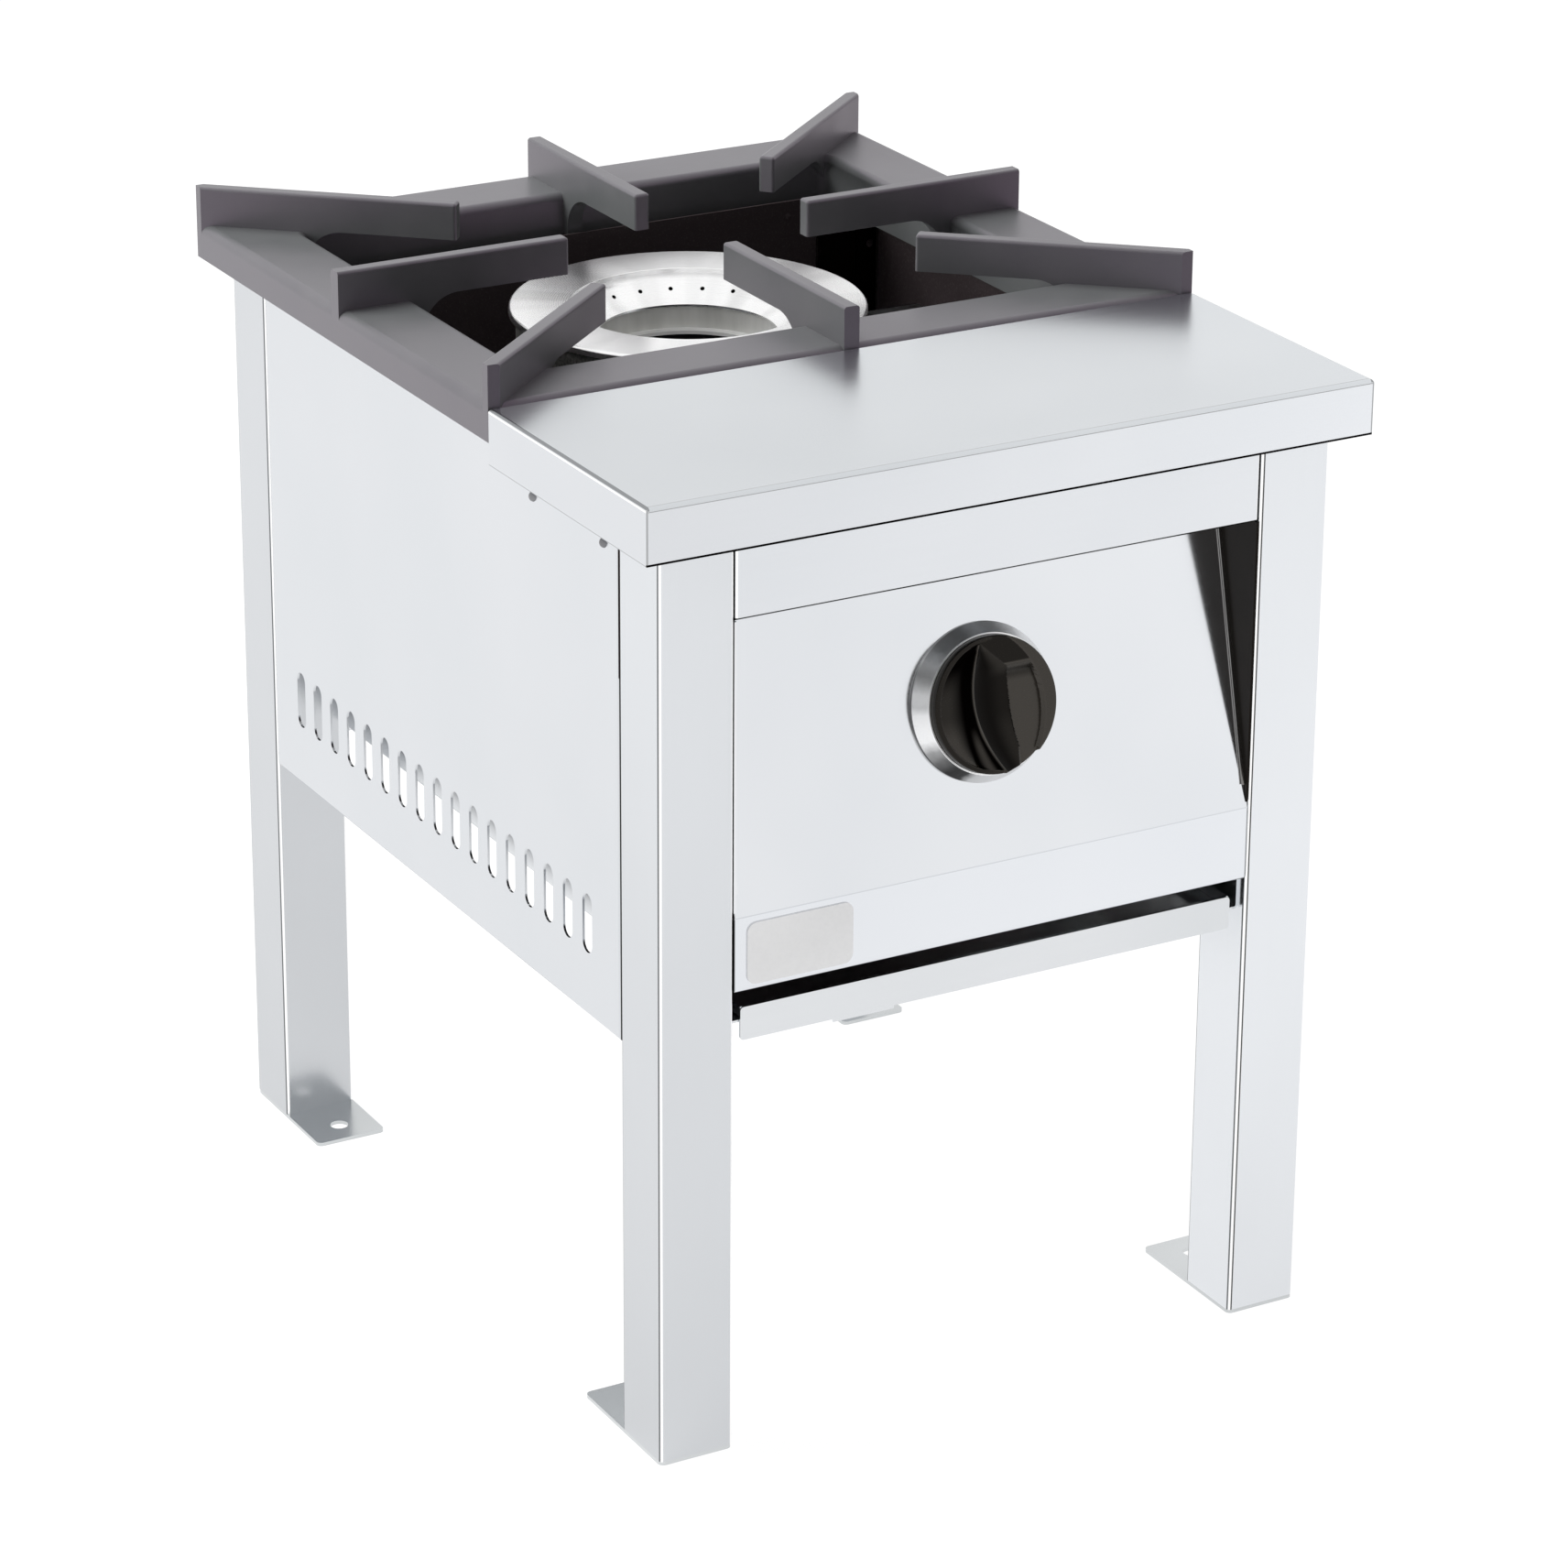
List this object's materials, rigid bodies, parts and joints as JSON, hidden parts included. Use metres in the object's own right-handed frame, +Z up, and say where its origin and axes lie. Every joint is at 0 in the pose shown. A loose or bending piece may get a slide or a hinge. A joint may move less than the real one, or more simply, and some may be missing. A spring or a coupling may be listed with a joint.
{
  "type": "stock pot range",
  "caption": "Low free-standing gas hob for one large pot: square legs, work shelf, slanted knob panel, ring burner under a raised pan support, and a drip tray.",
  "frame": {"origin": "on the floor under the middle of the range", "axes": "+X to the right seen from the front, +Y to the back, +Z up"},
  "size_m": [0.4, 0.51, 0.526],
  "materials": {
    "cabinet_steel": "fine brushed stainless steel",
    "foot_plate_steel": "plain stainless steel plate",
    "tray_steel": "stainless steel sheet",
    "pan_support_enamel": "grey satin enamel",
    "burner_ring_steel": "turned bright steel",
    "burner_cast_iron": "dull dark casting",
    "knob_plastic": "black glossy plastic",
    "polished_trim": "bright steel",
    "valve_brass": "machined brass",
    "zinced_steel": "zinc plated steel",
    "copper_pipe": "bare copper",
    "black_lining": "matt black enamel",
    "fastener_steel": "plain steel"
  },
  "bodies": {
    "cabinet": {"air_shutter": "zinced_steel", "back_liner": "black_lining", "back_panel": "cabinet_steel", "burner_body": "burner_cast_iron", "burner_feed_pipe": "copper_pipe", "burner_ring": "burner_ring_steel", "control_panel": "cabinet_steel", "front_burner_bar": "zinced_steel", "front_left_foot_plate": "foot_plate_steel", "front_left_leg": "cabinet_steel", "front_liner": "black_lining", "front_right_foot_plate": "foot_plate_steel", "front_right_leg": "cabinet_steel", "gas_injector": "valve_brass", "gas_inlet_fitting": "valve_brass", "gas_rail": "zinced_steel", "gas_valve": "valve_brass", "header_panel": "cabinet_steel", "injector_holder": "valve_brass", "inlet_locknut": "valve_brass", "knob_bezel": "polished_trim", "left_cheek_edge": "cabinet_steel", "left_liner": "black_lining", "left_panel_cheek": "black_lining", "left_side_panel": "cabinet_steel", "left_tray_runner": "tray_steel", "lining_rivets": "fastener_steel", "mixing_tube": "burner_cast_iron", "name_plate": "polished_trim", "probe_clip": "zinced_steel", "rear_burner_bar": "zinced_steel", "rear_left_foot_plate": "foot_plate_steel", "rear_left_leg": "cabinet_steel", "rear_right_foot_plate": "foot_plate_steel", "rear_right_leg": "cabinet_steel", "right_cheek_edge": "cabinet_steel", "right_liner": "black_lining", "right_panel_cheek": "black_lining", "right_side_panel": "cabinet_steel", "right_tray_runner": "tray_steel", "shelf_screws": "fastener_steel", "thermocouple": "copper_pipe", "valve_bracket": "zinced_steel", "valve_nut": "valve_brass", "work_shelf": "cabinet_steel"},
    "valve_rotor": {"valve_rotor": "valve_brass"},
    "knob": {"control_knob": "knob_plastic", "valve_spindle": "zinced_steel"},
    "drip_tray": {"drip_tray": "tray_steel"},
    "pan_support": {"front_finger": "pan_support_enamel", "front_left_finger": "pan_support_enamel", "front_right_finger": "pan_support_enamel", "left_finger": "pan_support_enamel", "pan_support_frame": "pan_support_enamel", "rear_finger": "pan_support_enamel", "rear_left_finger": "pan_support_enamel", "rear_right_finger": "pan_support_enamel", "right_finger": "pan_support_enamel"}
  },
  "joints": [
    {"name": "knob_turn", "type": "hinge", "parent": "cabinet", "child": "valve_rotor", "pos_m": [0, -0.22207, 0.36166], "axis": [0, -0.9744, 0.225], "range_deg": [0, 180]},
    {"name": "knob_push", "type": "slide", "parent": "valve_rotor", "child": "knob", "axis": [0, 0.9744, -0.225], "range_m": [0, 0.004], "stiffness_N_per_m": 1200, "springref_m": -0.002},
    {"name": "tray_slide", "type": "slide", "parent": "cabinet", "child": "drip_tray", "axis": [0, -1, 0], "range_m": [0, 0.4]},
    {"name": "pan_support_lift", "type": "slide", "parent": "cabinet", "child": "pan_support", "axis": [0, 0, 1], "range_m": [0, 0.25]}
  ]
}
